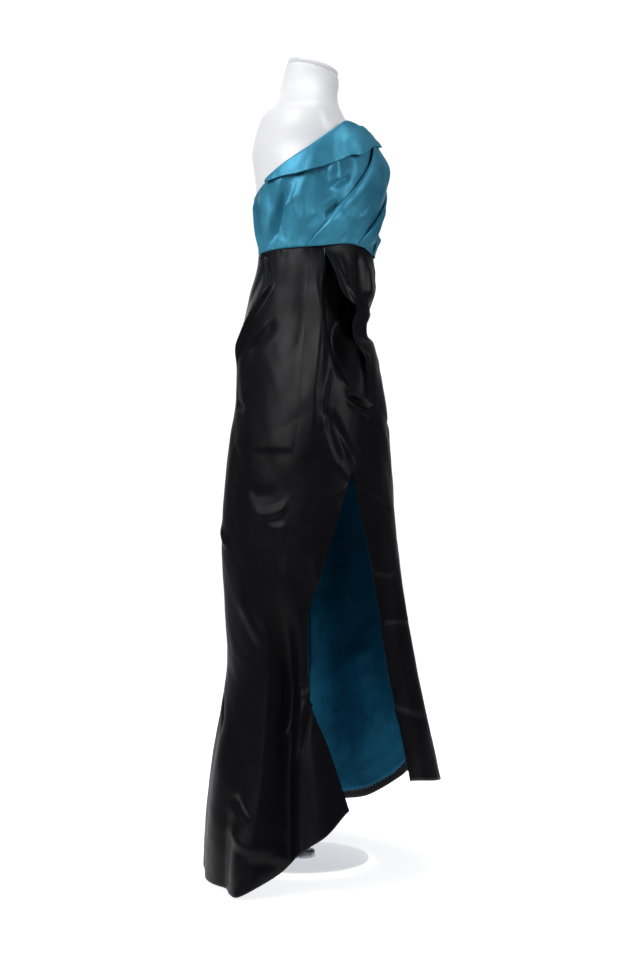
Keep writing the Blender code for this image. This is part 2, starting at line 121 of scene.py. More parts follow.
def mesh_of(name, points, around=False, caps=False):
    """A grid of quads over rows of points that run down and round, with a map of the
    lengths along its rows and columns in metres. Caps close the first and last rows."""
    rows, columns = points.shape[:2]
    index = np.arange(rows * columns).reshape(rows, columns)
    if around:
        index = np.concatenate([index, index[:, :1]], axis=1)
        points = np.concatenate([points, points[:, :1]], axis=1)
    corners = (index[:-1, :-1], index[1:, :-1], index[1:, 1:], index[:-1, 1:])
    quads = np.stack(corners, axis=-1).reshape(-1, 4).tolist()
    if caps:
        quads += [index[0, :columns].tolist(), index[-1, columns - 1 :: -1].tolist()]
    mesh = bpy.data.meshes.new(name)
    mesh.from_pydata(points[:, :columns].reshape(-1, 3).tolist(), [], quads)
    across = np.linalg.norm(np.diff(points, axis=1), axis=2)
    down = np.linalg.norm(np.diff(points, axis=0), axis=2)
    u = np.concatenate([np.zeros((rows, 1)), across.cumsum(axis=1)], axis=1)
    v = np.concatenate([np.zeros((1, u.shape[1])), down.cumsum(axis=0)], axis=0)
    at = (slice(None, -1), slice(None, -1)), (slice(1, None), slice(None, -1))
    at += (slice(1, None), slice(1, None)), (slice(None, -1), slice(1, None))
    uv = np.stack([np.stack([u[k], v[k]], axis=-1) for k in at], axis=2).reshape(-1, 2)
    layer = mesh.uv_layers.new(name="UVMap")
    flat = np.zeros((len(mesh.loops), 2))
    flat[: len(uv)] = uv
    layer.data.foreach_set("uv", flat.astype(np.float32).ravel())
    mesh.shade_smooth()
    return mesh


def show(name, mesh, material, nodes):
    """Puts a piece in the scene in place of its CAD nodes."""
    piece = bpy.data.objects.new(name, mesh)
    mesh.materials.append(material)
    bpy.context.scene.collection.objects.link(piece)
    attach(piece, "root")
    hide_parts(*nodes)
    return piece


def shader_of(name, roughness):
    """A new material's tree, its shader and the object coordinates."""
    material = bpy.data.materials.new(name)
    material.use_nodes = True
    tree = material.node_tree
    shader = tree.nodes["Principled BSDF"]
    shader.inputs["Roughness"].default_value = roughness
    place = tree.nodes.new("ShaderNodeTexCoord")
    return material, tree, shader, place.outputs["Object"]


def noise(tree, where, scale, detail=3.0, roughness=0.5, stretch=None):
    """A noise texture's value at a place, with the pattern squeezed along the axes."""
    if stretch:
        turn = tree.nodes.new("ShaderNodeMapping")
        turn.inputs["Scale"].default_value = stretch
        tree.links.new(where, turn.inputs["Vector"])
        where = turn.outputs["Vector"]
    grain = tree.nodes.new("ShaderNodeTexNoise")
    grain.inputs["Scale"].default_value = scale
    grain.inputs["Detail"].default_value = detail
    grain.inputs["Roughness"].default_value = roughness
    tree.links.new(where, grain.inputs["Vector"])
    return grain.outputs["Fac"]


def between(tree, factor, low, high):
    """The factor mapped from 0..1 to low..high."""
    span = tree.nodes.new("ShaderNodeMapRange")
    span.inputs["To Min"].default_value = low
    span.inputs["To Max"].default_value = high
    tree.links.new(factor, span.inputs["Value"])
    return span.outputs["Result"]


def mixed(tree, factor, first, second, kind="RGBA"):
    """Two colours or values mixed by a factor: each is a colour's numbers or another
    node's output."""
    mix = tree.nodes.new("ShaderNodeMix")
    mix.data_type = kind
    for name, given in (("A", first), ("B", second)):
        if isinstance(given, tuple):
            mix.inputs[name].default_value = (*given, 1)
        else:
            tree.links.new(given, mix.inputs[name])
    tree.links.new(factor, mix.inputs["Factor"])
    return mix.outputs["Result"]


def paint(tree, shader, mask, first, second):
    """The shader's colour, mixed from two by a mask."""
    tree.links.new(mixed(tree, mask, first, second), shader.inputs["Base Color"])


def painted_glow(shader, strength):
    """Painted light: a faintly cool white glow that the surface gives off by itself, though it is no
    lamp.
    """
    shader.inputs["Emission Color"].default_value = (0.98, 0.98, 1.0, 1)
    shader.inputs["Emission Strength"].default_value = strength


def bump(tree, shader, height, distance, strength=1.0, before=None):
    """A bump of that height in metres on the shader's normal."""
    node = tree.nodes.new("ShaderNodeBump")
    node.inputs["Distance"].default_value = distance
    node.inputs["Strength"].default_value = strength
    tree.links.new(height, node.inputs["Height"])
    if before:
        tree.links.new(before, node.inputs["Normal"])
    tree.links.new(node.outputs["Normal"], shader.inputs["Normal"])
    return node.outputs["Normal"]


def form_coat():
    """Milky white plastic with a faint orange peel, and a painted glow that makes it look filled with
    light.
    """
    material, tree, shader, place = shader_of("form coat", 0.34)
    paint(tree, shader, noise(tree, place, 4.0, 4.0), (0.56, 0.56, 0.575), (0.62, 0.62, 0.63))
    painted_glow(shader, 0.24)
    polish = between(tree, noise(tree, place, 22.0), 0.36, 0.50)
    tree.links.new(polish, shader.inputs["Roughness"])
    bump(tree, shader, noise(tree, place, 420.0, 2.0), 0.0002, 0.35)
    shader.inputs["Coat Weight"].default_value = 0.05
    return material


FORM_COAT = form_coat()


TOP_EDGE = (
    Place(0, 1.246), Place(20, 1.250), Place(42, 1.267), Place(58, 1.283),
    Place(84, 1.312), Place(98, 1.332), Place(112, 1.352), Place(124, 1.366),
    Place(150, 1.360), Place(180, 1.362), Place(205, 1.398), Place(226, 1.386),
    Place(248, 1.356), Place(270, 1.322), Place(292, 1.292), Place(318, 1.266),
    Place(340, 1.250), Place(360, 1.246),
)
UNDER_CLOTH = 0.020


def form_points(rows=150, columns=200, edge=0.006):
    """The sections' rings from the neck down, drawn in by a quarter round at both ends,
    pressed in a little where the gown hides them, and tilted at the neck."""
    low, high = FORM_SECTIONS[0].z, FORM_SECTIONS[-1].z
    z = np.linspace(high, low, rows)[:, None] + np.zeros((1, columns))
    bearing = np.linspace(0, 360, columns, endpoint=False)[None, :] + np.zeros((rows, 1))
    near = np.minimum(high - z, z - low)
    turn = edge - np.sqrt(np.clip(edge**2 - np.clip(edge - near, 0, edge) ** 2, 0, None))
    hidden = smooth((along(TOP_EDGE, bearing) - 0.008 - z) / 0.022)
    points = ring(FORM_SECTIONS, bearing, z, -turn - UNDER_CLOTH * hidden)
    tilt = NECK_TILT * smooth((z - NECK_FOOT_Z) / (high - NECK_FOOT_Z))
    points[..., 2] += tilt * (points[..., 1] - NECK_CENTRE_Y)
    return points


torso = show("dress_form_torso", mesh_of("torso", form_points(), around=True, caps=True),
             FORM_COAT, ["form_torso"])
torso.data.set_sharp_from_angle(angle=math.radians(50))


# The neck cap is a turned disc with a soft edge, a shallow dish and a centre screw,
# bolted on the slanted neck.
CapRow = namedtuple("CapRow", "radius rise")
CAP_PROFILE = (
    CapRow(0.0460, 0.0003), CapRow(0.0482, 0.0012), CapRow(0.0490, 0.0030),
    CapRow(0.0486, 0.0056), CapRow(0.0468, 0.0076), CapRow(0.0440, 0.0083),
    CapRow(0.0400, 0.0080), CapRow(0.0150, 0.0076), CapRow(0.0066, 0.0076),
    CapRow(0.0062, 0.0092), CapRow(0.0048, 0.0098), CapRow(0.0010, 0.0098),
)


def turned(profile, columns=96):
    """A profile of radii and rises turned about the upright axis, top row first."""
    rows = np.array(profile[::-1], float)
    angle = np.linspace(0, 2 * math.pi, columns, endpoint=False)
    x = -rows[:, :1] * np.sin(angle)
    y = rows[:, :1] * np.cos(angle)
    return np.stack([x, y, rows[:, 1:] + 0 * x], axis=-1)


def tipped(points, angle, place):
    """Points turned about the X axis and then moved to a place."""
    c, s = math.cos(angle), math.sin(angle)
    x, y, z = points[..., 0], points[..., 1], points[..., 2]
    return np.stack([x, c * y - s * z, s * y + c * z], axis=-1) + np.array(place)


cap_points = tipped(turned(CAP_PROFILE), math.atan(NECK_TILT),
                    (0, NECK_CENTRE_Y, FORM_SECTIONS[-1].z))
neck_cap = show("neck_cap", mesh_of("neck cap", cap_points, around=True, caps=True),
                FORM_COAT, ["form_neck_cap"])
neck_cap.data.set_sharp_from_angle(angle=math.radians(50))

# ------------------------------------------------------------------ the stand
# A white powder-coated disc with a rounded edge, a brushed steel pole with a clamp
# collar, and a steel flange that is screwed under the torso.
BASE_RADIUS = 0.125
BASE_THICK = 0.010
POLE_RADIUS = 0.0125
FLANGE_RADIUS = 0.045
FLANGE_THICK = 0.008
SEAT_GAP = 0.0003


def powder_coat():
    """White powder coat: fine pebbled bump, faint scuffs, and a painted glow that keeps the disc white
    where the skirt shades it.
    """
    material, tree, shader, place = shader_of("powder coat", 0.42)
    paint(tree, shader, noise(tree, place, 30.0, 5.0), (0.78, 0.78, 0.79), (0.88, 0.88, 0.88))
    painted_glow(shader, 0.60)
    bump(tree, shader, noise(tree, place, 900.0, 2.0), 0.0002, 0.5)
    return material


def brushed_steel():
    """Steel with fine lines drawn round the pole."""
    material, tree, shader, place = shader_of("brushed steel", 0.3)
    shader.inputs["Metallic"].default_value = 1.0
    lines = noise(tree, place, 40.0, 4.0, stretch=(1, 1, 60))
    paint(tree, shader, lines, (0.60, 0.60, 0.62), (0.78, 0.78, 0.80))
    tree.links.new(between(tree, lines, 0.22, 0.40), shader.inputs["Roughness"])
    bump(tree, shader, lines, 0.0001, 0.3)
    return material


def round_edged(radius, low, high, edge, steps=5):
    """A disc's profile: a quarter round of that edge above and below the side."""
    turn = np.linspace(0, math.pi / 2, steps)
    lower = [(radius - edge + edge * math.sin(a), low + edge - edge * math.cos(a)) for a in turn]
    upper = [(r, low + high - z) for r, z in reversed(lower)]
    return [(0.002, low), *lower, *upper, (0.002, high)]


STEEL = brushed_steel()
base_profile = round_edged(BASE_RADIUS, 0.0, BASE_THICK, 0.003)
base = show("stand_disc", mesh_of("base", turned(base_profile, 128), around=True, caps=True),
            powder_coat(), ["stand_base"])
flange_top = FORM_FOOT_Z - SEAT_GAP
flange_profile = round_edged(FLANGE_RADIUS, flange_top - FLANGE_THICK, flange_top, 0.0015)
flange = show("form_flange_plate", mesh_of("flange", turned(flange_profile), around=True, caps=True),
              STEEL, ["form_flange"])
pole_low = BASE_THICK + SEAT_GAP
pole_high = flange_top - FLANGE_THICK - SEAT_GAP
pole_profile = (
    (0.0020, pole_low), (0.0230, pole_low), (0.0230, pole_low + 0.0100),
    (0.0218, pole_low + 0.0116), (POLE_RADIUS + 0.0005, pole_low + 0.0124),
    (POLE_RADIUS, pole_low + 0.0130), (POLE_RADIUS, 0.5180), (0.0180, 0.5190),
    (0.0185, 0.5204), (0.0185, 0.5436), (0.0180, 0.5450), (0.0105, 0.5460),
    (0.0105, pole_high), (0.0020, pole_high),
)
pole = show("stand_pole_tube", mesh_of("pole", turned(pole_profile, 64), around=True, caps=True),
            STEEL, ["stand_pole"])
for piece in (base, flange, pole):
    piece.data.set_sharp_from_angle(angle=math.radians(40))

# ------------------------------------------------------------------ the bodice's panels
# Heavy teal satin in three panels, right back, front and left back, cut to the body and
# seamed at the sides. Cloth of this weight dents and buckles softly between its seams.
Fold = namedtuple("Fold", "start end rise before after fade_in fade_out bow crisp", defaults=(0.0, 0.0))
WAIST_Z = 1.142
SATIN = 0.0016
DRAPE_SATIN = 0.0013
LEFT_SIDE = 275.0
PLEAT_SCALE = 0.18
GOWN_SECTIONS = (
    Section(0.000, 0.300, 0.187, -0.264),
    Section(0.100, 0.286, 0.182, -0.264),
    Section(0.200, 0.263, 0.171, -0.248),
    Section(0.300, 0.238, 0.153, -0.225),
    Section(0.380, 0.222, 0.143, -0.207),
    Section(0.490, 0.215, 0.147, -0.191),
    Section(0.600, 0.216, 0.153, -0.178),
    Section(0.720, 0.214, 0.146, -0.168),
    Section(0.795, 0.209, 0.137, -0.164),
    Section(0.870, 0.202, 0.127, -0.155),
    Section(0.940, 0.191, 0.124, -0.143),
    Section(1.000, 0.176, 0.114, -0.131),
    Section(1.060, 0.154, 0.102, -0.131),
    Section(1.140, 0.129, 0.084, -0.129),
    Section(1.200, 0.140, 0.090, -0.137),
    Section(1.250, 0.147, 0.093, -0.149),
    Section(1.290, 0.150, 0.094, -0.152),
    Section(1.340, 0.151, 0.093, -0.137),
    Section(1.420, 0.146, 0.084, -0.112),
)
WAIST_LINE = (
    Place(0, 1.142), Place(60, 1.141), Place(96, 1.143), Place(127, 1.150),
    Place(152, 1.144), Place(180, 1.140), Place(230, 1.142), Place(275, 1.144),
    Place(320, 1.141), Place(360, 1.142),
)
BACK_LIP = (Place(0.0, 0.6), Place(0.96, 1.3), Place(1.27, 1.6))
# A deep buckle runs down each back panel; softer dents lie round the bust and sides.
BODICE_FOLDS = (
    Fold((70, 1.272), (35, 1.114), -0.0170, 0.021, 0.017, 0.35, 0.1, -0.003),
    Fold((80, 1.290), (72, 1.120), 0.0040, 0.030, 0.034, 0.4, 0.3),
    Fold((34, 1.262), (24, 1.135), 0.0034, 0.018, 0.022, 0.3, 0.3, 0.0, 0.4),
    Fold((99, 1.194), (112, 1.218), -0.0078, 0.008, 0.010, 0.3, 0.05),
    Fold((96, 1.210), (109, 1.232), 0.0024, 0.008, 0.008, 0.3, 0.2, 0.0, 0.5),
    Fold((100, 1.244), (122, 1.270), -0.0042, 0.008, 0.012, 0.4, 0.2, 0.0, 0.3),
    Fold((84, 1.255), (112, 1.300), 0.0026, 0.013, 0.018, 0.4, 0.3, 0.003, 0.4),
    Fold((80, 1.175), (97, 1.199), -0.0026, 0.010, 0.013, 0.4, 0.3),
    Fold((50, 1.168), (66, 1.152), -0.0014, 0.009, 0.012, 0.4, 0.4),
    Fold((56, 1.205), (76, 1.236), 0.0022, 0.012, 0.013, 0.4, 0.4, 0.0, 0.5),
    Fold((12, 1.226), (36, 1.206), -0.0024, 0.010, 0.014, 0.4, 0.4, 0.0, 0.4),
    Fold((8, 1.172), (30, 1.150), 0.0022, 0.010, 0.013, 0.4, 0.4, 0.0, 0.5),
    Fold((300, 1.270), (322, 1.125), -0.0090, 0.020, 0.018, 0.3, 0.1),
    Fold((281, 1.290), (290, 1.120), 0.0036, 0.028, 0.026, 0.4, 0.3),
    Fold((277, 1.230), (298, 1.202), -0.0036, 0.010, 0.012, 0.3, 0.4, 0.0, 0.4),
    Fold((328, 1.218), (352, 1.232), -0.0024, 0.011, 0.015, 0.4, 0.4, 0.0, 0.4),
    Fold((334, 1.165), (354, 1.182), 0.0020, 0.010, 0.013, 0.4, 0.4, 0.0, 0.5),
)


def fold_height(folds, bearing, z):
    """The sum of the folds' heights. Each is a bump across a line of bearing and height:
    the fourth-power bell of the distance from the line, over a width of its own on each
    side, faded at the line's ends. A bow bends the line sideways like an arch, and a
    crisp fold's bell goes over to a pointed one."""
    total = np.zeros(np.broadcast(bearing, z).shape)
    for fold in folds:
        run = math.radians(fold.end[0] - fold.start[0]) * PLEAT_SCALE
        drop = fold.end[1] - fold.start[1]
        length = math.hypot(run, drop)
        side = np.radians(bearing - fold.start[0]) * PLEAT_SCALE
        down = z - fold.start[1]
        t = (side * run + down * drop) / length**2
        off = (down * run - side * drop) / length * (-1 if drop > 0 else 1)
        off = off - fold.bow * 4 * np.clip(t, 0, 1) * (1 - np.clip(t, 0, 1))
        width = np.where(off < 0, fold.before, fold.after)
        ends = smooth(t / max(fold.fade_in, 1e-6)) * smooth((1 - t) / max(fold.fade_out, 1e-6))
        away = np.clip(np.abs(off) / width, 0, 1)
        bell = (1 - fold.crisp) * (1 - away**2) ** 2 + fold.crisp * (1 - away) ** 2.2
        total += np.where((t > 0) & (t < 1), fold.rise * ends * bell, 0.0)
    return total


def slack(bearing, z, seed, size=1.0):
    """Uneven slack in the cloth: ten waves of random slants, 28 to 130 mm long. Each is
    bent by a slower wave, comes and goes across its length, and every other one is the
    sine's size instead of the sine, which makes its valleys sharp."""
    draw = np.random.default_rng(seed)
    s = np.radians(bearing) * PLEAT_SCALE
    total = np.zeros(np.broadcast(bearing, z).shape)
    for k in range(10):
        slant = draw.uniform(-1.0, 1.0)
        wave = draw.uniform(0.028, 0.13)
        shift, turn, slow, bend = draw.uniform(0, 6.28, 4)
        way = s * math.cos(slant) + z * math.sin(slant)
        across = z * math.cos(slant) - s * math.sin(slant)
        way = way + 0.25 * wave * np.sin(across / (wave * 0.9) + bend)
        swell = np.sin(across / (wave * 1.6) + slow) * np.sin(way / (wave * 1.9) + turn)
        swell = smooth(0.5 + swell)
        beat = way * 2 * math.pi / wave + shift
        shape = np.abs(np.sin(beat / 2)) * 1.6 - 1 if k % 2 else np.sin(beat)
        total += swell * shape * wave * 0.0085
    return total * size


def cloth_grid(surface, left, right, top, foot, shape, ease=None):
    """Points on a surface between two edges, each a bearing by height, and two ends,
    each a height by bearing. Bearing and height are found together by halving steps.
    The columns lie closer together towards the edges, by a sine's share."""
    rows, columns = shape
    down = np.linspace(0, 1, rows)[:, None]
    down = ease(down) if ease else down
    across = np.linspace(0, 1, columns)[None, :]
    across = across - 0.80 * np.sin(across * 2 * math.pi) / (2 * math.pi) + 0 * down
    bearing = left(WAIST_Z) + (right(WAIST_Z) - left(WAIST_Z)) * across
    for _ in range(16):
        z = top(bearing) + (foot(bearing) - top(bearing)) * down
        bearing = (bearing + left(z) + (right(z) - left(z)) * across) / 2
    z = top(bearing) + (foot(bearing) - top(bearing)) * down
    return surface(bearing, z)


def level(value):
    """An edge or an end that stays at one value."""
    return lambda at: value + 0 * np.asarray(at, float)


def read(table, shift=0.0):
    """An edge or an end read from a table."""
    return lambda at: along(table, at) + shift


def thicken(piece, thick, offset=-1):
    """Gives a sheet its wall, inwards from the grid or, at an offset of one, outwards."""
    wall = piece.modifiers.new("cloth", "SOLIDIFY")
    wall.thickness = thick
    wall.offset = offset


def sew(name, points, material, nodes, thick=SATIN):
    """A piece of cloth: its outer face is the grid and its wall goes inwards."""
    piece = show(name, mesh_of(name, points), material, nodes)
    thicken(piece, thick)


def maths(tree, operation, *values):
    """A math node's result. Each value is a number or another node's output."""
    node = tree.nodes.new("ShaderNodeMath")
    node.operation = operation
    for socket, value in zip(node.inputs, values):
        if isinstance(value, float):
            socket.default_value = value
        else:
            tree.links.new(value, socket)
    return node.outputs[0]


def satin_group():
    """Satin's surface: a colour mixed towards a lighter one in broad random clouds, which is painted
    sheen, and a little by the slubs; a roughness that varies for a real uneven sheen; fine warp floats
    along the cloth's map; and a height for the small dents that heavy satin keeps."""
    group = bpy.data.node_groups.new("satin surface", "ShaderNodeTree")
    for name, way, kind in (
        ("Cloth", "INPUT", "Color"), ("Painted Sheen", "INPUT", "Color"),
        ("Polish", "INPUT", "Float"), ("Matt", "INPUT", "Float"),
        ("Colour", "OUTPUT", "Color"), ("Roughness", "OUTPUT", "Float"),
        ("Dents", "OUTPUT", "Float"), ("Threads", "OUTPUT", "Float"),
    ):
        group.interface.new_socket(name, in_out=way, socket_type="NodeSocket" + kind)
    given = group.nodes.new("NodeGroupInput")
    made = group.nodes.new("NodeGroupOutput")
    where = group.nodes.new("ShaderNodeTexCoord")
    sheen_cloud = noise(group, where.outputs["Object"], 10.0, 4.0, 0.55)
    slub = noise(group, where.outputs["UV"], 260.0, 2.0, 0.6, stretch=(1.0, 0.06, 1.0))
    gloss = noise(group, where.outputs["Object"], 19.0, 3.0)
    small = noise(group, where.outputs["Object"], 12.0, 3.0, 0.45, stretch=(1.0, 1.0, 0.7))
    # Painted sheen: lighter colour in broad random clouds, plus a little tone from the slubs.
    sheen_and_slub_mask = maths(group, "MULTIPLY_ADD", sheen_cloud, 1.6, between(group, slub, -0.42, -0.18))
    for name, result in (
        ("Colour", mixed(group, sheen_and_slub_mask, given.outputs["Cloth"], given.outputs["Painted Sheen"])),
        ("Roughness", mixed(group, gloss, given.outputs["Polish"], given.outputs["Matt"], "FLOAT")),
        ("Dents", small),
        ("Threads", slub),
    ):
        group.links.new(result, made.inputs[name])
    return group


SATIN_SURFACE = satin_group()


def satin(name, cloth, painted_sheen, polish, matt, dents, specular, metallic=0.0):
    """A satin of one colour over the shared surface, with a lighter second colour for its painted sheen;
    the last numbers are the depth of its dents in metres, its specular level, and how far its shine takes
    its colour."""
    material, tree, shader, _ = shader_of(name, polish)
    weave = tree.nodes.new("ShaderNodeGroup")
    weave.node_tree = SATIN_SURFACE
    for name, value in (
        ("Cloth", (*cloth, 1)), ("Painted Sheen", (*painted_sheen, 1)), ("Polish", polish), ("Matt", matt),
    ):
        weave.inputs[name].default_value = value
    tree.links.new(weave.outputs["Colour"], shader.inputs["Base Color"])
    tree.links.new(weave.outputs["Roughness"], shader.inputs["Roughness"])
    threads = bump(tree, shader, weave.outputs["Threads"], 0.00005, 0.5)
    bump(tree, shader, weave.outputs["Dents"], dents, 0.8, threads)
    shader.inputs["Specular IOR Level"].default_value = specular
    shader.inputs["Metallic"].default_value = metallic
    return material


# Each satin's second colour is the lighter colour of its painted sheen.
TEAL = satin("teal satin", (0.024, 0.150, 0.245), (0.090, 0.400, 0.560),
             polish=0.39, matt=0.53, dents=0.020, specular=0.2, metallic=0.30)


def seam(bearing, z, line, seed, size=1.0):
    """A pressed seam along a line of bearing by height: a narrow groove that dies out
    like an exponential, and puckers that leave it on both sides."""
    off = np.radians(bearing - line(z)) * PLEAT_SCALE
    groove = -0.0005 * np.exp(-np.abs(off) / 0.0016)
    pull = np.sin(z * 2 * math.pi / 0.021 + 2.1 * np.sin(z * 31 + seed) + seed)
    pull = pull * (0.6 + 0.4 * np.sin(z * 17 + seed)) * np.exp(-((off / 0.010) ** 2))
    return (groove + 0.00032 * pull * smooth(np.abs(off) / 0.003)) * size


def waist_groove(bearing, z):
    """The waist seam's groove, on both sides of its line."""
    off = np.abs(z - along(WAIST_LINE, bearing))
    pull = np.sin(np.radians(bearing) * 38 + 2 * np.sin(np.radians(bearing) * 7))
    return -0.0012 * np.exp(-off / 0.0014) + 0.0004 * pull * np.exp(-((off / 0.010) ** 2))


def bodice_cloth(bearing, z):
    """The body's sections with the bodice's own dents and slack, held flat at the waist
    seam and the top edge."""
    free = smooth((z - WAIST_Z) / 0.035) * smooth((along(TOP_EDGE, bearing) - z) / 0.02)
    rise = free * (fold_height(BODICE_FOLDS, bearing, z) + slack(bearing, z, 3, 2.1))
    rise = rise + waist_groove(bearing, z)
    rise = rise + seam(bearing, z, level(85), 1, 0.3)
    rise = rise + seam(bearing, z, level(LEFT_SIDE), 2, 0.6)
    return ring(GOWN_SECTIONS, bearing, z, rise)


bodice_top = read(TOP_EDGE)
waist = read(WAIST_LINE)
for name, left, right, columns in (
    ("bodice_back_right", read(BACK_LIP), level(85), 76),
    ("bodice_front", level(85), level(LEFT_SIDE), 160),
    ("bodice_back_left", level(LEFT_SIDE), lambda z: 360 - along(BACK_LIP, z), 76),
):
    grid = cloth_grid(bodice_cloth, left, right, bodice_top, waist, (60, columns))
    sew(name + "_satin", grid, TEAL, [name])

# ------------------------------------------------------------------ the draped bands
# Three bias bands of lighter satin wrap up over the front from the right waist to the
# left bust. Each has a soft rolled upper edge and laps the one before it.
BAND_EDGES = (
    (Place(1.135, 80), Place(1.160, 91), Place(1.178, 99), Place(1.202, 107.5),
     Place(1.225, 115), Place(1.245, 122.5), Place(1.267, 130), Place(1.293, 138),
     Place(1.324, 149), Place(1.360, 164), Place(1.400, 182)),
    (Place(1.135, 128), Place(1.184, 150), Place(1.215, 165), Place(1.250, 182),
     Place(1.290, 200), Place(1.330, 216), Place(1.360, 228), Place(1.400, 244)),
    (Place(1.135, 163), Place(1.180, 184), Place(1.220, 202), Place(1.260, 220),
     Place(1.300, 238), Place(1.335, 252), Place(1.400, 270)),
    (Place(1.135, 266), Place(1.400, 272)),
)
# The third band puffs out at the left waist; the rest are drag lines and small dents.
BAND_FOLDS = (
    Fold((160, 1.164), (204, 1.184), 0.0085, 0.009, 0.018, 0.35, 0.35, 0.0, 0.5),
    Fold((118, 1.150), (150, 1.240), 0.0026, 0.012, 0.012, 0.3, 0.3),
    Fold((123, 1.176), (136, 1.196), -0.0050, 0.006, 0.018, 0.3, 0.3),
    Fold((106, 1.142), (117, 1.164), 0.0026, 0.006, 0.009, 0.2, 0.4, 0.0, 0.5),
    Fold((140, 1.215), (166, 1.290), -0.0024, 0.010, 0.014, 0.3, 0.3),
    Fold((110, 1.150), (126, 1.170), -0.0020, 0.007, 0.009, 0.3, 0.3),
    Fold((152, 1.150), (178, 1.215), 0.0022, 0.010, 0.012, 0.3, 0.3),
    Fold((170, 1.205), (196, 1.262), -0.0024, 0.010, 0.012, 0.3, 0.3),
    Fold((186, 1.290), (210, 1.345), 0.0022, 0.012, 0.012, 0.3, 0.3),
    Fold((190, 1.160), (222, 1.232), -0.0026, 0.012, 0.014, 0.3, 0.3),
    Fold((206, 1.210), (240, 1.282), 0.0024, 0.012, 0.016, 0.3, 0.3),
    Fold((236, 1.180), (262, 1.240), -0.0022, 0.014, 0.014, 0.3, 0.3),
)
BAND_LIFT = 0.0030
BAND_FULLNESS = 0.0075
BAND_LAP = 0.0028


def band_cloth(number):
    """A band's surface: a quarter round at its rolled edge, fullest behind it, falling to
    the next band's edge, where it goes under."""
    edge = read(BAND_EDGES[number])
    end = read(BAND_EDGES[number + 1])

    def at(bearing, z):
        share = (bearing - edge(z)) / np.maximum(end(z) - edge(z), 1)
        roll = np.sqrt(1 - np.clip(1 - share / 0.16, 0, 1) ** 2)
        full = BAND_FULLNESS * roll * smooth((1.15 - share) / 0.9)
        full = full * smooth((z - along(WAIST_LINE, bearing)) / 0.05)
        full = full * smooth((along(TOP_EDGE, bearing) - z) / 0.06)
        free = smooth((z - along(WAIST_LINE, bearing)) / 0.02) * smooth(share / 0.1)
        rise = free * (fold_height(BAND_FOLDS, bearing, z) + slack(bearing, z, 11 + number, 2.2))
        lap = (BAND_LAP if number else 0.0) * smooth((0.6 - share) / 0.3)
        return ring(GOWN_SECTIONS, bearing, z, DRAPE_SATIN + BAND_LIFT + lap + full + rise * 0.8)

    return at


for number in range(len(BAND_EDGES) - 1):
    under = 7 if number < len(BAND_EDGES) - 2 else 0
    grid = cloth_grid(band_cloth(number), read(BAND_EDGES[number]),
                      read(BAND_EDGES[number + 1], under), read(TOP_EDGE, -0.015),
                      waist, (70, 84))
    node = f"drape_band_{number + 1}"
    sew(node + "_satin", grid, TEAL, [node],
        DRAPE_SATIN)

# ------------------------------------------------------------------ the collar
# One long strip of teal satin is folded over the bodice's top edge. It hangs close at
# the sides and flares out over the front, where its underside is in shadow.
COLLAR_WIDTH = (
    Place(42, 0.006), Place(60, 0.020), Place(80, 0.038), Place(104, 0.058),
    Place(126, 0.065), Place(140, 0.047), Place(150, 0.033), Place(165, 0.024),
    Place(180, 0.020), Place(205, 0.044),
    Place(230, 0.060), Place(256, 0.055), Place(280, 0.044), Place(300, 0.024),
    Place(318, 0.006),
)
COLLAR_FLARE = (
    Place(42, 6), Place(80, 9), Place(104, 12), Place(126, 16), Place(150, 24),
    Place(180, 34), Place(205, 30), Place(230, 24), Place(256, 20), Place(280, 14),
    Place(318, 6),
)
COLLAR_ROLL = 0.0030
COLLAR_SEAT = 0.0017


def collar_points(rows=26, columns=220):
    """The strip starts inside the top edge, rolls over it in a half round, and runs down
    the flare's line, with a slow wave that grows towards its free edge."""
    bearing = np.linspace(COLLAR_WIDTH[0].at, COLLAR_WIDTH[-1].at, columns)[None, :]
    down = np.linspace(0, 1, rows)[:, None] + 0 * bearing
    bearing = bearing + 0 * down
    fold_z = along(TOP_EDGE, bearing) + COLLAR_SEAT
    flare = np.radians(along(COLLAR_FLARE, bearing))
    drop = along(COLLAR_WIDTH, bearing) * down
    wave = 0.0022 * np.sin(np.radians(bearing) * 9.0) + 0.0016 * np.sin(np.radians(bearing) * 17 + 1)
    wave = wave * smooth(down * 1.4) + slack(bearing, fold_z - drop, 23, 0.5) * smooth(down * 3)
    reach = COLLAR_ROLL + drop * np.sin(flare) + wave
    points = ring(GOWN_SECTIONS, bearing, fold_z, 0.0)
    out = ring(GOWN_SECTIONS, bearing, fold_z, 1.0) - points
    points = points + out * reach[..., None]
    points[..., 2] -= drop * np.cos(flare)
    turn = np.linspace(0, 1, 6)[:, None] + 0 * bearing[:1]
    inner = ring(GOWN_SECTIONS, bearing[:1] + 0 * turn, fold_z[:1] + 0 * turn, 0.0)
    roll = -SATIN + (COLLAR_ROLL + SATIN) * turn
    inner = inner + out[:1] * roll[..., None]
    inner[..., 2] += 0.0012 * np.sin(math.pi * turn)
    return np.concatenate([inner[:-1], points], axis=0)


grid = collar_points()
collar = show("collar_satin", mesh_of("collar", grid), TEAL, ["collar"])
thicken(collar, SATIN, 1)

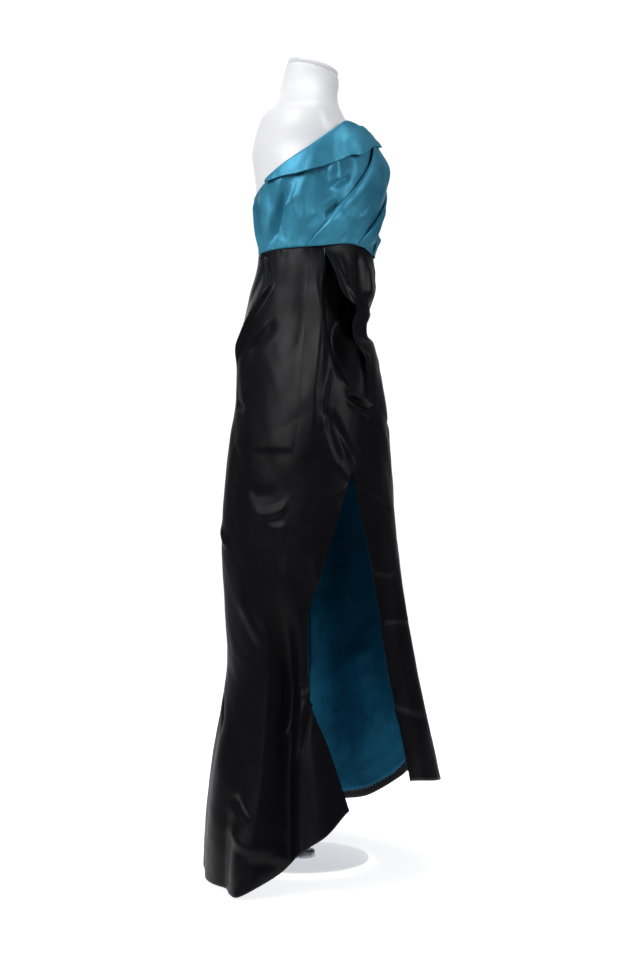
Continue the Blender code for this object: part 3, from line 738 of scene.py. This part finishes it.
# ------------------------------------------------------------------ the skirt's panels
# Black duchess satin: two back panels, a wrap panel that laps the front and makes the
# cowl at the right hip, and a front panel cut up to a high slit. All hang from the waist.
HEM_RIGHT = (
    Place(0, 0.006), Place(30, 0.003), Place(56, 0.003), Place(68, 0.033),
    Place(79, 0.067), Place(93, 0.107), Place(106, 0.152), Place(140, 0.190),
)
HEM_FRONT = (
    Place(96, 0.190), Place(136, 0.186), Place(160, 0.172), Place(183, 0.166),
    Place(205, 0.186), Place(222, 0.130), Place(240, 0.080), Place(256, 0.062),
    Place(276, 0.048), Place(300, 0.022), Place(330, 0.006), Place(360, 0.006),
)
SIDE_SEAM = (
    Place(0.0, 66), Place(0.40, 68), Place(0.63, 73), Place(0.84, 80),
    Place(1.05, 85), Place(WAIST_Z, 87),
)
WRAP_EDGE = (
    Place(0.140, 106), Place(0.257, 97), Place(0.340, 88.0), Place(0.465, 86.5),
    Place(0.580, 98), Place(0.740, 116), Place(0.800, 126), Place(0.845, 133),
    Place(0.862, 134), Place(0.868, 127), Place(0.876, 119), Place(0.893, 113),
    Place(0.930, 109), Place(0.970, 106), Place(1.030, 102), Place(WAIST_Z, 100),
)
FRONT_EDGE = (
    Place(0.150, 139), Place(0.300, 137.5), Place(0.450, 134.5), Place(0.600, 129.5),
    Place(0.740, 118), Place(0.800, 112), Place(0.900, 106), Place(0.970, 104),
    Place(1.030, 102.8), Place(WAIST_Z, 100.8),
)
# Long folds that all the cloth below the waist follows, and the pleat behind the hip.
SKIRT_FOLDS = (
    Fold((54, 1.083), (2, 0.922), 0.0120, 0.060, 0.0080, 0.10, 0.35, 0.0, 0.6),
    Fold((25, 1.150), (50, 1.066), -0.0140, 0.009, 0.014, 0.10, 0.25, 0.0, 0.3),
    Fold((98, 1.160), (96, 0.880), 0.0130, 0.050, 0.026, 0.25, 0.45, 0.0, 0.35),
    Fold((97, 1.060), (87, 0.740), 0.0115, 0.050, 0.030, 0.45, 0.45, 0.0, 0.35),
    Fold((70, 0.560), (75, -0.020), -0.036, 0.040, 0.036, 0.4, 0.0),
    Fold((34, 0.380), (32, -0.020), 0.012, 0.060, 0.050, 0.5, 0.0),
    Fold((55, 0.220), (56, -0.020), 0.026, 0.045, 0.040, 0.8, 0.0),
    Fold((90, 0.330), (98, -0.020), 0.016, 0.030, 0.040, 0.6, 0.0),
    Fold((162, 0.700), (161, 0.100), 0.010, 0.045, 0.045, 0.6, 0.0),
    Fold((184, 0.700), (184, 0.100), -0.018, 0.040, 0.040, 0.6, 0.0),
    Fold((206, 0.700), (207, 0.100), 0.014, 0.045, 0.045, 0.6, 0.0),
    Fold((240, 0.800), (238, 0.000), -0.014, 0.055, 0.055, 0.6, 0.0),
    Fold((262, 1.090), (268, 0.000), 0.012, 0.060, 0.060, 0.3, 0.0),
    Fold((292, 0.700), (296, 0.000), -0.022, 0.050, 0.060, 0.6, 0.0),
    Fold((324, 1.100), (322, 0.000), 0.012, 0.060, 0.060, 0.5, 0.0),
    Fold((344, 0.600), (346, 0.000), -0.010, 0.045, 0.045, 0.6, 0.0),
)
# The cowl: its hollow, and the roll with its tucks where the wrap's edge turns back.
WRAP_FOLDS = (
    Fold((101, 1.120), (119, 0.895), -0.027, 0.040, 0.060, 0.30, 0.15),
    Fold((112, 0.884), (142, 0.852), 0.0100, 0.010, 0.014, 0.25, 0.0, -0.004, 0.3),
    Fold((113, 0.872), (140, 0.842), -0.0060, 0.008, 0.008, 0.25, 0.3, -0.004),
    Fold((112, 0.862), (138, 0.832), 0.0060, 0.008, 0.014, 0.25, 0.3, -0.004, 0.3),
)
# The front panel is drawn in behind the cowl and across under the swag.
FRONT_TUCKS = (
    Fold((92, 0.985), (140, 0.955), -0.046, 0.110, 0.145, 0.0, 0.25),
    Fold((132, 0.990), (222, 1.026), -0.021, 0.080, 0.030, 0.1, 0.2),
)
# Small creases on the wearer's right half, then others of their kinds round the rest.
CREASES_RIGHT = (
    Fold((62, 1.010), (28, 0.940), -0.0060, 0.016, 0.026, 0.3, 0.3),
    Fold((44, 0.777), (80, 0.775), 0.0026, 0.008, 0.080, 0.3, 0.2, 0.0, 0.5),
    Fold((45, 0.684), (77, 0.682), 0.0050, 0.014, 0.020, 0.35, 0.25, -0.026, 0.2),
    Fold((44, 0.712), (70, 0.706), -0.0036, 0.016, 0.018, 0.3, 0.4, -0.016),
    Fold((57, 0.650), (77, 0.640), 0.0032, 0.012, 0.015, 0.3, 0.3, -0.010, 0.3),
    Fold((34, 0.520), (60, 0.420), 0.0034, 0.026, 0.022, 0.35, 0.3, 0.004),
    Fold((68, 0.610), (83, 0.400), 0.0036, 0.022, 0.026, 0.3, 0.4),
    Fold((99, 0.850), (121, 0.742), -0.0044, 0.015, 0.013, 0.35, 0.2),
    Fold((95, 0.865), (109, 0.742), -0.0035, 0.011, 0.012, 0.3, 0.3),
    Fold((99, 0.768), (117, 0.717), 0.0022, 0.010, 0.011, 0.3, 0.2),
    Fold((116, 0.716), (94, 0.678), 0.0020, 0.011, 0.013, 0.3, 0.4),
    Fold((104, 0.905), (96, 0.800), 0.0035, 0.012, 0.014, 0.3, 0.3),
    Fold((88, 0.338), (66, 0.255), 0.0050, 0.010, 0.014, 0.25, 0.4),
    Fold((87, 0.330), (74, 0.190), 0.0050, 0.012, 0.010, 0.20, 0.5),
    Fold((88, 0.330), (82, 0.215), -0.0042, 0.010, 0.010, 0.20, 0.5),
    Fold((89, 0.362), (72, 0.345), -0.0030, 0.012, 0.012, 0.25, 0.5),
    Fold((42, 0.116), (73, 0.071), 0.0060, 0.020, 0.018, 0.3, 0.1),
    Fold((73, 0.074), (56, -0.010), 0.0055, 0.018, 0.014, 0.1, 0.0),
    Fold((58, 0.060), (70, 0.052), -0.0030, 0.010, 0.010, 0.3, 0.2),
    Fold((44, 0.165), (60, 0.120), -0.0060, 0.014, 0.012, 0.3, 0.3),
    Fold((20, 0.780), (44, 0.735), -0.0030, 0.013, 0.016, 0.3, 0.4),
    Fold((14, 0.860), (36, 0.850), -0.0040, 0.014, 0.014, 0.2, 0.4),
    Fold((88, 0.590), (98, 0.500), 0.0030, 0.012, 0.014, 0.3, 0.3),
)
CREASES_ROUND = (
    Fold((126, 0.700), (162, 0.655), -0.0035, 0.010, 0.014, 0.1, 0.4),
    Fold((130, 0.560), (158, 0.548), 0.0030, 0.010, 0.010, 0.1, 0.4),
    Fold((134, 0.470), (170, 0.462), 0.0036, 0.006, 0.008, 0.1, 0.5),
    Fold((134, 0.310), (166, 0.270), -0.0040, 0.012, 0.014, 0.1, 0.4),
    Fold((158, 0.800), (196, 0.860), -0.0030, 0.014, 0.020, 0.3, 0.4),
    Fold((172, 0.930), (214, 0.900), -0.0036, 0.014, 0.018, 0.3, 0.4),
    Fold((190, 0.620), (222, 0.585), 0.0030, 0.012, 0.014, 0.3, 0.4),
    Fold((214, 0.980), (250, 0.860), -0.0040, 0.016, 0.020, 0.3, 0.4),
    Fold((226, 0.700), (262, 0.665), 0.0034, 0.013, 0.015, 0.3, 0.4),
    Fold((228, 0.400), (256, 0.330), -0.0040, 0.014, 0.016, 0.3, 0.4),
    Fold((262, 0.775), (330, 0.777), 0.0026, 0.006, 0.070, 0.2, 0.2),
    Fold((284, 1.060), (304, 0.960), -0.0045, 0.016, 0.014, 0.3, 0.4),
    Fold((276, 0.700), (310, 0.645), 0.0050, 0.013, 0.013, 0.3, 0.3, -0.018),
    Fold((312, 0.560), (282, 0.470), 0.0045, 0.015, 0.018, 0.3, 0.3),
    Fold((286, 0.300), (312, 0.190), -0.0050, 0.014, 0.015, 0.3, 0.3),
    Fold((320, 0.900), (350, 0.850), -0.0036, 0.014, 0.016, 0.3, 0.4),
    Fold((326, 0.690), (356, 0.655), 0.0038, 0.012, 0.014, 0.3, 0.4, -0.012),
    Fold((334, 0.480), (358, 0.400), -0.0035, 0.014, 0.016, 0.3, 0.4),
    Fold((4, 0.640), (30, 0.600), 0.0036, 0.012, 0.014, 0.3, 0.4, -0.010),
    Fold((6, 0.330), (28, 0.250), -0.0040, 0.014, 0.015, 0.3, 0.4),
    Fold((300, 0.110), (330, 0.050), 0.0060, 0.015, 0.015, 0.3, 0.3),
)
BLACK = satin("black satin", (0.0014, 0.0013, 0.0020), (0.0050, 0.0044, 0.0068),
              polish=0.41, matt=0.52, dents=0.0025, specular=0.23)


def skirt_cloth(extra_folds=(), lift=None, seed=31):
    """The gown's sections raised by the shared folds, the panel's own folds, the creases
    and the slack, all brought to nothing at the waist seam."""

    def at(bearing, z):
        rise = fold_height(SKIRT_FOLDS + tuple(extra_folds), bearing, z)
        rise = rise + fold_height(CREASES_RIGHT + CREASES_ROUND, bearing, z)
        rise = rise + slack(bearing, z, seed, 0.6)
        rise = rise * smooth((along(WAIST_LINE, bearing) - z) / 0.022)
        rise = rise + (lift(bearing, z) if lift else 0.0)
        rise = rise + seam(bearing, z, read(SIDE_SEAM), 3, 0.45)
        rise = rise + seam(bearing, z, level(LEFT_SIDE), 4, 0.6)
        return ring(GOWN_SECTIONS, bearing, z, rise + waist_groove(bearing, z))

    return at


back_cloth = skirt_cloth()
ZIP_FOOT_Z = 0.965


def lips(bearing, z):
    """The back's surface, half a millimetre in, with a narrow trough where the lips meet."""
    points = back_cloth(bearing, z)
    points[..., 1] -= 0.0005 + 0.0007 * np.exp(-((bearing / 0.28) ** 2))
    return points


lip_edge = read(BACK_LIP, 0.3)
for name, top, foot, material, nodes, slot in (
    ("back_zip_lips", along(TOP_EDGE, 0.0), along(WAIST_LINE, 0.0), TEAL, ["back_zip"], "teal_satin"),
    ("back_hip_lips", along(WAIST_LINE, 0.0), ZIP_FOOT_Z, BLACK, [], "black_satin"),
    ("back_seam_lips", ZIP_FOOT_Z, 0.006, BLACK, ["back_seam"], "black_satin"),
):
    grid = cloth_grid(lips, lambda z: -lip_edge(z), lip_edge, level(top), level(foot), (110, 17))
    thicken(show(name, mesh_of(name, grid), material, nodes), SATIN)


def wrap_lift(bearing, z):
    """The wrap's front edge stands off what it laps over."""
    proud = 0.008 * smooth((bearing - 84) / 30) * smooth((z - 0.30) / 0.3)
    return proud * smooth((WAIST_Z + 0.002 - z) / 0.06)


def front_lift(bearing, z):
    """The front panel lies under the wrap and the swag."""
    under_wrap = smooth((150 - bearing) / 24) * smooth((z - 0.45) / 0.2)
    under_swag = smooth((z - 0.96) / 0.03) * smooth((WAIST_Z + 0.002 - z) / 0.06)
    return -0.004 * np.maximum(under_wrap * smooth((1.08 - z) / 0.08), 0.5 * under_swag)


wrap_cloth = skirt_cloth(WRAP_FOLDS, wrap_lift)
front_cloth = skirt_cloth(FRONT_TUCKS, front_lift)
SkirtPanel = namedtuple("SkirtPanel", "node surface left right hem shape held")
SKIRT_PANELS = (
    SkirtPanel("skirt_back_right", back_cloth, read(BACK_LIP), read(SIDE_SEAM),
               read(HEM_RIGHT), (250, 140), "hung"),
    SkirtPanel("skirt_wrap_right", wrap_cloth, read(SIDE_SEAM), read(WRAP_EDGE),
               read(HEM_RIGHT), (250, 110), "draped"),
    SkirtPanel("skirt_front", front_cloth, read(FRONT_EDGE), level(LEFT_SIDE),
               read(HEM_FRONT), (190, 140), "hung"),
    SkirtPanel("skirt_back_left", back_cloth, level(LEFT_SIDE),
               lambda z: 360 - along(BACK_LIP, z), read(HEM_FRONT), (190, 110), "hung"),
)
for panel in SKIRT_PANELS:
    grid = cloth_grid(panel.surface, panel.left, panel.right, waist, panel.hem,
                      panel.shape, lambda down: down**1.1)
    sew(panel.node + "_satin", grid, BLACK, [panel.node])

# ------------------------------------------------------------------ the linings
# Lighter teal satin behind each skirt panel, felled by hand to the hem's facing with
# slanted stitches that show inside the slit.
LINING = 0.0010
LINING_RISE = 0.018
LINING_TOP = 0.80
LINING_EDGE = 1.6
LINING_SHAPE = (110, 56)
LINING_DEPTH = 0.0070
LINING_TEAL = satin("teal lining", (0.003, 0.062, 0.120), (0.013, 0.165, 0.280),
                    polish=0.40, matt=0.52, dents=0.016, specular=0.1, metallic=0.3)


def lining_of(panel):
    """The panel's own surface between edges drawn in, from below the hip to above the
    hem, evened out by averaging each point with its neighbours, and moved in along the
    grid's normal."""
    grid = cloth_grid(panel.surface, lambda z: panel.left(z) + LINING_EDGE,
                      lambda z: panel.right(z) - LINING_EDGE, level(LINING_TOP),
                      lambda b: panel.hem(b) + LINING_RISE, LINING_SHAPE)
    for _ in range(3):
        inner = (grid[:-2, 1:-1] + grid[2:, 1:-1] + grid[1:-1, :-2] + grid[1:-1, 2:]) / 4
        grid[1:-1, 1:-1] = (grid[1:-1, 1:-1] + inner) / 2
    across, down = np.gradient(grid, axis=1), np.gradient(grid, axis=0)
    normal = np.cross(down, across)
    normal /= np.linalg.norm(normal, axis=2, keepdims=True)
    return grid - normal * LINING_DEPTH


def stitches(line, inward, spacing=0.0085, reach=0.0052, thread=0.00028):
    """Slanted hand stitches along a line of points: each is a six-sided thread that
    arches from the lining down to the facing, with its ends in the cloth."""
    steps = np.linalg.norm(np.diff(line, axis=0), axis=1)
    at = np.concatenate([[0], steps.cumsum()])
    start = np.arange(spacing, at[-1] - spacing, spacing)
    start = start + 0.0012 * np.sin(start * 900)

    def place(far):
        return np.stack([np.interp(far, at, line[:, k]) for k in range(3)], axis=1)

    first = place(start) + [0, 0, 0.0022]
    last = place(start + 0.0045) - [0, 0, reach - 0.0022]
    t = np.linspace(0, 1, 5)[None, :, None]
    middle = first[:, None] * (1 - t) + last[:, None] * t
    out = inward(middle)
    middle = middle + out * (0.0011 * np.sin(math.pi * t) - 0.0002)
    way = (last - first) / np.linalg.norm(last - first, axis=1, keepdims=True)
    side = np.cross(way[:, None], out)
    angle = np.linspace(0, 2 * math.pi, 6, endpoint=False)
    rim = np.cos(angle)[:, None] * side[:, :, None] + np.sin(angle)[:, None] * out[:, :, None]
    return middle[:, :, None] + thread * rim


def stitch_mesh(name, tubes):
    """Every stitch's rings of points joined into one mesh of quads."""
    count, rings, around = tubes.shape[:3]
    index = np.arange(count * rings * around).reshape(count, rings, around)
    turned_on = np.roll(index, -1, axis=2)
    corners = (index[:, :-1], turned_on[:, :-1], turned_on[:, 1:], index[:, 1:])
    quads = np.stack(corners, axis=-1).reshape(-1, 4)
    mesh = bpy.data.meshes.new(name)
    mesh.from_pydata(tubes.reshape(-1, 3).tolist(), [], quads.tolist())
    mesh.shade_smooth()
    return mesh


def inward_of(points):
    """The level direction from points towards the stand."""
    away = np.stack([-points[..., 0], WIDEST_Y - points[..., 1], 0 * points[..., 2]], axis=-1)
    return away / np.linalg.norm(away, axis=-1, keepdims=True)


def thread_paint():
    """Pale blue silk thread with a little uneven dye."""
    material, tree, shader, place = shader_of("felling thread", 0.5)
    paint(tree, shader, noise(tree, place, 300.0), (0.10, 0.26, 0.36), (0.24, 0.42, 0.52))
    return material


THREAD = thread_paint()
for panel in SKIRT_PANELS:
    grid = lining_of(panel)
    node = panel.node.replace("skirt", "lining")
    tubes = stitches(grid[-1], inward_of)
    thread = show(node + "_stitches", stitch_mesh(node, tubes), THREAD, [])
    sew(node + "_satin", grid, LINING_TEAL, [node],
        LINING)

# ------------------------------------------------------------------ the hip swag
# A bias piece of black satin, caught in the waist seam, hangs in a soft cowl over the
# front of the hips. Its tail runs down the hollow's front side and tucks into the wrap.
Edge = namedtuple("Edge", "share bearing z")
SWAG_TOP = (
    Edge(0.00, 99.4, 0), Edge(0.04, 105, 0), Edge(0.09, 112, 0), Edge(0.14, 119, 0),
    Edge(0.22, 131, 0), Edge(0.35, 153, 0), Edge(0.50, 180, 0), Edge(0.68, 213, 0),
    Edge(0.85, 244, 0), Edge(1.00, 273, 0),
)
SWAG_RIM = (
    Edge(0.00, 99.4, 1.1434), Edge(0.20, 107.5, 1.096), Edge(0.38, 115, 1.056),
    Edge(0.48, 121, 1.041), Edge(0.60, 130, 1.026), Edge(0.76, 134.5, 0.963),
    Edge(0.89, 136, 0.905), Edge(1.00, 136.5, 0.862),
)
SWAG_FOOT = (
    Edge(0.00, 136.5, 0.862), Edge(0.04, 138.5, 0.890), Edge(0.09, 141, 0.925),
    Edge(0.14, 146, 0.953), Edge(0.22, 155, 0.972), Edge(0.35, 172, 0.986),
    Edge(0.50, 192, 1.003), Edge(0.68, 220, 1.030), Edge(0.85, 248, 1.075),
    Edge(1.00, 273, 1.118),
)
SWAG_FOLDS = (
    Fold((101, 1.135), (132, 1.010), 0.009, 0.020, 0.020, 0.3, 0.1),
    Fold((128, 0.975), (224, 1.022), -0.018, 0.085, 0.040, 0.10, 0.25),
    Fold((137, 1.150), (140, 1.010), -0.004, 0.022, 0.022, 0.1, 0.4),
)
SWAG_CREASES = (
    Fold((117, 1.078), (132, 1.034), 0.0050, 0.008, 0.010, 0.3, 0.1),
    Fold((112, 1.120), (122, 1.060), -0.0030, 0.008, 0.008, 0.3, 0.3),
    Fold((148, 1.130), (150, 1.020), 0.0030, 0.012, 0.014, 0.3, 0.3),
    Fold((140, 1.060), (178, 1.030), -0.0040, 0.012, 0.014, 0.3, 0.3),
    Fold((150, 1.015), (214, 1.045), 0.0045, 0.012, 0.012, 0.3, 0.3),
    Fold((176, 1.100), (236, 1.092), -0.0030, 0.010, 0.014, 0.3, 0.3),
    Fold((200, 1.070), (250, 1.100), 0.0035, 0.010, 0.012, 0.3, 0.3),
)


SWAG_LIFT = 0.0016
SWAG_HANG = 0.0035


def swag_points(rows=60, columns=170):
    """A patch between four edges in bearing and height: the waist above, the foot below,
    the rim at one side; the far side is straight. The rim's bow fades across the patch."""
    across = np.linspace(0, 1, columns)[None, :] ** 1.3
    down = np.linspace(0, 1, rows)[:, None]
    top = along(SWAG_TOP, across), along(WAIST_LINE, along(SWAG_TOP, across))
    foot = along(SWAG_FOOT, across), along(SWAG_FOOT, across, 2)
    rim = along(SWAG_RIM, down), along(SWAG_RIM, down, 2)
    fade = (1 - across) ** 3
    bearing, z = (
        (1 - down) * high + down * low + fade * (side - (1 - down) * high[:, :1] - down * low[:, :1])
        for high, low, side in zip(top, foot, rim)
    )
    hang = smooth((WAIST_Z + 0.006 - z) / 0.05)
    rise = fold_height(SKIRT_FOLDS + SWAG_FOLDS + SWAG_CREASES, bearing, z)
    rise = (rise + slack(bearing, z, 47, 1.6)) * smooth((along(WAIST_LINE, bearing) - z) / 0.035)
    return ring(GOWN_SECTIONS, bearing, z, rise + SATIN + SWAG_LIFT + SWAG_HANG * hang)


sew("hip_swag_satin", swag_points(), BLACK, ["hip_swag"])

# ------------------------------------------------------------------ camera, floor, lights
# The camera is level, off the wearer's right side; the floor and the room are plain and
# pale. Soft light comes from behind, from above and from the far side.
CAMERA_PLACE = (-3.0, -0.032, 0.72)
LENS = 59.6
camera_data = bpy.data.cameras.new("camera")
camera_data.lens = LENS
camera_data.sensor_width = 36
camera = bpy.data.objects.new("camera", camera_data)
camera.location = CAMERA_PLACE
camera.rotation_euler = (math.pi / 2, 0, -math.pi / 2)
bpy.context.scene.collection.objects.link(camera)
bpy.context.scene.camera = camera

FLOOR_HALF = 9.0
floor_grid = np.array([[(-1, -1, 0), (-1, 1, 0)], [(1, -1, 0), (1, 1, 0)]], float) * FLOOR_HALF
floor_mesh = mesh_of("floor", floor_grid)
floor = bpy.data.objects.new("floor", floor_mesh)
floor.location.z = -0.0005


def or_seen(tree, value):
    """The value, or one for what is looked at directly, so that the studio looks evenly
    pale from every side while only a part of it shines on to the cloth."""
    path = tree.nodes.new("ShaderNodeLightPath")
    return maths(tree, "MAXIMUM", value, path.outputs["Is Camera Ray"])


def ramp(tree, value, start, stop):
    """Nought before the start and one past the stop, with level ends."""
    step = tree.nodes.new("ShaderNodeMapRange")
    step.interpolation_type = "SMOOTHSTEP"
    step.inputs["From Min"].default_value = start
    step.inputs["From Max"].default_value = stop
    tree.links.new(value, step.inputs["Value"])
    return step.outputs["Result"]


def paper_floor():
    """A pale floor of paper, which shines on to the cloth from just before the stand to
    the far side, where that part is wider."""
    material, tree, shader, place = shader_of("paper floor", 0.9)
    shader.inputs["Specular IOR Level"].default_value = 0.0
    shader.inputs["Emission Color"].default_value = (1, 1, 1, 1)
    split = tree.nodes.new("ShaderNodeSeparateXYZ")
    tree.links.new(place, split.inputs["Vector"])
    aside = maths(tree, "ABSOLUTE", split.outputs["Y"])
    slanted = maths(tree, "MULTIPLY_ADD", split.outputs["X"], -0.23, aside)
    paper = maths(tree, "MULTIPLY", ramp(tree, split.outputs["X"], -1.5, -0.6),
                  ramp(tree, slanted, 1.35, 0.80))
    paint(tree, shader, paper, (0.42, 0.42, 0.43), (0.86, 0.86, 0.86))
    shine = between(tree, or_seen(tree, paper), 0.0, 0.84)
    tree.links.new(shine, shader.inputs["Emission Strength"])
    return material


floor_mesh.materials.append(paper_floor())
bpy.context.scene.collection.objects.link(floor)


def softbox(name, place, aim, size, power, spread=180):
    """A square area light at a place, turned to its aim, with a grid over it that keeps
    its light within that many degrees."""
    lamp = bpy.data.lights.new(name, "AREA")
    lamp.shape = "RECTANGLE"
    lamp.size, lamp.size_y = size
    lamp.energy = power
    lamp.spread = math.radians(spread)
    made = bpy.data.objects.new(name, lamp)
    made.location = place
    direction = np.array(aim, float) - np.array(place, float)
    yaw = math.atan2(direction[1], direction[0]) - math.pi / 2
    pitch = math.atan2(direction[2], math.hypot(direction[0], direction[1])) + math.pi / 2
    made.rotation_euler = (pitch, 0, yaw)
    bpy.context.scene.collection.objects.link(made)


softbox("key", (-1.15, 1.60, 2.00), (0, 0, 1.24), (2.4, 1.2), 10, 62)
softbox("fill", (-1.60, -2.20, 1.90), (-0.05, -0.05, 1.22), (1.2, 0.8), 1.9, 30)
softbox("top", (-0.1, 0.2, 3.0), (0, 0, 0.9), (1.4, 1.4), 10)
softbox("far side", (2.2, 0.4, 2.0), (0, 0, 0.9), (1.2, 1.4), 10)


def studio_world():
    """A white room that shines from beyond the object, a little from its ceiling and
    hardly from the rest."""
    world = bpy.data.worlds.new("studio")
    world.use_nodes = True
    tree = world.node_tree
    place = tree.nodes.new("ShaderNodeTexCoord")
    split = tree.nodes.new("ShaderNodeSeparateXYZ")
    tree.links.new(place.outputs["Generated"], split.inputs["Vector"])
    room = mixed(tree, ramp(tree, split.outputs["Z"], 0.10, 0.80), (0.08, 0.08, 0.09), (0.24, 0.24, 0.26))
    wall = or_seen(tree, ramp(tree, split.outputs["X"], 0.905, 0.94))
    sky = mixed(tree, wall, room, (1.05, 1.05, 1.05))
    tree.links.new(sky, tree.nodes["Background"].inputs["Color"])
    return world


bpy.context.scene.world = studio_world()
bpy.context.scene.view_settings.view_transform = "Standard"
bpy.context.scene.view_settings.gamma = 0.9
